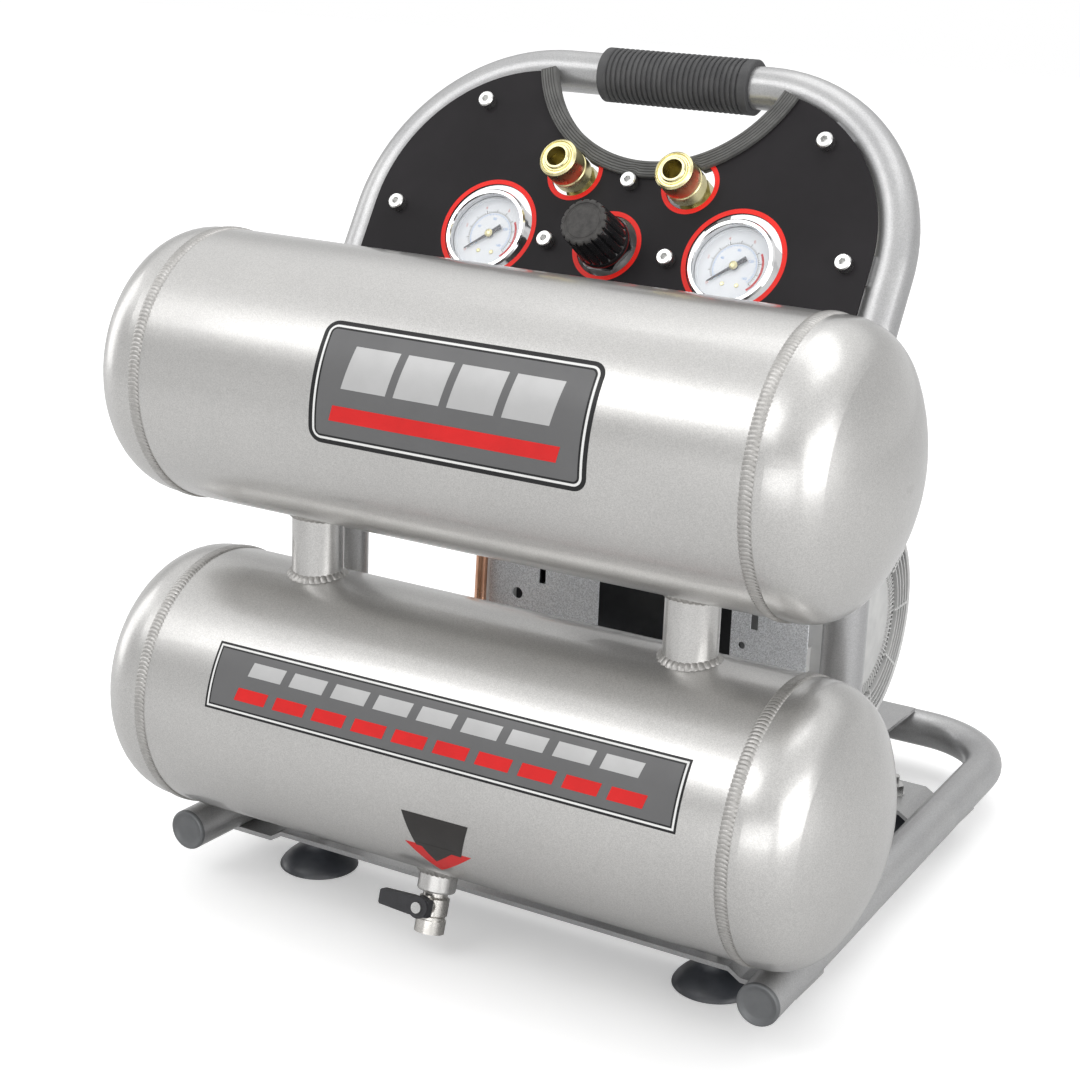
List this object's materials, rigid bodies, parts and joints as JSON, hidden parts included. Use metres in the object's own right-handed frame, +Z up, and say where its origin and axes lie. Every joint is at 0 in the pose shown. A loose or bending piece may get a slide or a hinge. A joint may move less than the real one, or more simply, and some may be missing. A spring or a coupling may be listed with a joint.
{
  "type": "air compressor",
  "caption": "Portable electric air compressor with two stacked horizontal tanks, tube frame, carrying hoop, control panel and an oil-free pump behind",
  "frame": {"origin": "middle of the footprint, on the floor under the rubber feet", "axes": "+Z up, +X to the right seen from the front, -Y to the front (tank side), +Y to the pump side"},
  "size_m": [0.4934, 0.5017, 0.5135],
  "materials": {
    "tank_silver": "satin metallic lacquer with a fine flake",
    "weld_metal": "rippled weld under the same lacquer",
    "frame_silver": "silver metallic paint",
    "cap_grey": "grey moulded plug",
    "foot_rubber": "black rubber",
    "grip_rubber": "ribbed dark grey rubber",
    "trim_rubber": "extruded grey edging",
    "zinc_steel": "bright zinc plate",
    "panel_charcoal": "charcoal satin paint with red printed rings",
    "bezel_chrome": "polished",
    "dial_white": "white printed dial",
    "lens_glass": "clear lens",
    "needle_black": "black",
    "gloss_black": "glossy moulding",
    "matte_black": "fine-grained moulding",
    "red_plastic": "glossy moulding",
    "yellow_brass": "turned brass",
    "nickel": "nickel plate",
    "cast_aluminium": "die cast",
    "zinc_sheet": "speckled zinc sheet",
    "motor_grey": "grey enamel",
    "bare_steel": "ground steel",
    "guard_grey": "grey moulding",
    "fan_black": "black moulding",
    "copper": "copper tube"
  },
  "bodies": {
    "frame": {"upper_tank_shell": "tank_silver", "upper_tank_ends": "tank_silver", "lower_tank_shell": "tank_silver", "lower_tank_ends": "tank_silver", "tank_links": "tank_silver", "tank_weld_beads": "weld_metal", "drain_bung": "tank_silver", "tank_saddles": "frame_silver", "base_rail": "frame_silver", "handle_hoop": "frame_silver", "motor_platform": "frame_silver", "front_foot_strap": "frame_silver", "rear_foot_strap": "frame_silver", "rail_end_caps": "cap_grey", "rubber_feet": "foot_rubber", "motor_mounts": "foot_rubber", "handle_grip": "grip_rubber", "panel_trim": "trim_rubber", "frame_bolts": "zinc_steel", "panel_screws": "zinc_steel", "control_panel": "panel_charcoal", "gauge_cases": "bezel_chrome", "gauge_dials": "dial_white", "gauge_lenses": "lens_glass", "regulator_body": "cast_aluminium", "regulator_nut": "gloss_black", "coupler_bodies": "yellow_brass", "air_manifold": "cast_aluminium", "relief_valve": "yellow_brass", "switch_base": "cast_aluminium", "switch_cover": "matte_black", "cord_gland": "matte_black", "motor_shell": "motor_grey", "stator": "bare_steel", "motor_bearings": "bare_steel", "left_fan_guard": "guard_grey", "right_fan_guard": "guard_grey", "motor_shroud": "zinc_sheet", "crankcases": "cast_aluminium", "cylinders": "cast_aluminium", "cylinder_heads": "cast_aluminium", "intake_filters": "matte_black", "capacitor": "motor_grey", "copper_pipes": "copper", "tank_fittings": "yellow_brass", "drain_valve_body": "nickel"},
    "rotor": {"rotor_shaft": "bare_steel", "cooling_fans": "fan_black"},
    "left_piston": {"left_piston": "cast_aluminium"},
    "right_piston": {"right_piston": "cast_aluminium"},
    "tank_needle": {"tank_gauge_needle": "needle_black"},
    "outlet_needle": {"outlet_gauge_needle": "needle_black"},
    "regulator_knob": {"regulator_knob": "gloss_black"},
    "left_sleeve": {"left_coupler_sleeve": "yellow_brass"},
    "right_sleeve": {"right_coupler_sleeve": "yellow_brass"},
    "drain_lever": {"drain_lever": "matte_black", "drain_ball": "nickel", "drain_lever_screw": "zinc_steel"},
    "switch_lever": {"switch_lever": "red_plastic"},
    "relief_pull": {"relief_ring": "zinc_steel"}
  },
  "joints": [
    {"name": "rotor_spin", "type": "hinge", "parent": "frame", "child": "rotor", "pos_m": [0, 0.1022, 0.147], "axis": [1, 0, 0], "continuous": true},
    {"name": "right_piston_slide", "type": "slide", "parent": "frame", "child": "right_piston", "axis": [0, 0, 1], "range_m": [-0.005, 0.005]},
    {"name": "left_piston_slide", "type": "slide", "parent": "frame", "child": "left_piston", "axis": [0, 0, 1], "range_m": [-0.005, 0.005]},
    {"name": "tank_needle_turn", "type": "hinge", "parent": "frame", "child": "tank_needle", "pos_m": [-0.0818, -0.04764, 0.40225], "axis": [0, 0.8572, -0.515], "range_deg": [0, 258]},
    {"name": "outlet_needle_turn", "type": "hinge", "parent": "frame", "child": "outlet_needle", "pos_m": [0.0838, -0.04764, 0.40225], "axis": [0, 0.8572, -0.515], "range_deg": [0, 258]},
    {"name": "regulator_knob_turn", "type": "hinge", "parent": "frame", "child": "regulator_knob", "pos_m": [0.002, -0.06891, 0.41538], "axis": [0, 0.8572, -0.515], "range_deg": [0, 1080]},
    {"name": "left_sleeve_slide", "type": "slide", "parent": "frame", "child": "left_sleeve", "axis": [0, 0.8572, -0.515], "range_m": [0, 0.005], "stiffness_N_per_m": 600, "springref_m": -0.002},
    {"name": "right_sleeve_slide", "type": "slide", "parent": "frame", "child": "right_sleeve", "axis": [0, 0.8572, -0.515], "range_m": [0, 0.005], "stiffness_N_per_m": 600, "springref_m": -0.002},
    {"name": "drain_turn", "type": "hinge", "parent": "frame", "child": "drain_lever", "pos_m": [-0.0152, -0.19678, 0.03113], "axis": [0, -0.9613, 0.2756], "range_deg": [0, 90]},
    {"name": "switch_turn", "type": "hinge", "parent": "frame", "child": "switch_lever", "pos_m": [0.032, 0.0125, 0.3373], "axis": [1, 0, 0], "range_deg": [0, 40]},
    {"name": "relief_pull_slide", "type": "slide", "parent": "frame", "child": "relief_pull", "axis": [-1, 0, 0], "range_m": [0, 0.004], "stiffness_N_per_m": 400, "springref_m": -0.002}
  ],
  "couplings": [
    {"joint": "left_piston_slide", "follows": "right_piston_slide", "ratio": -1}
  ]
}
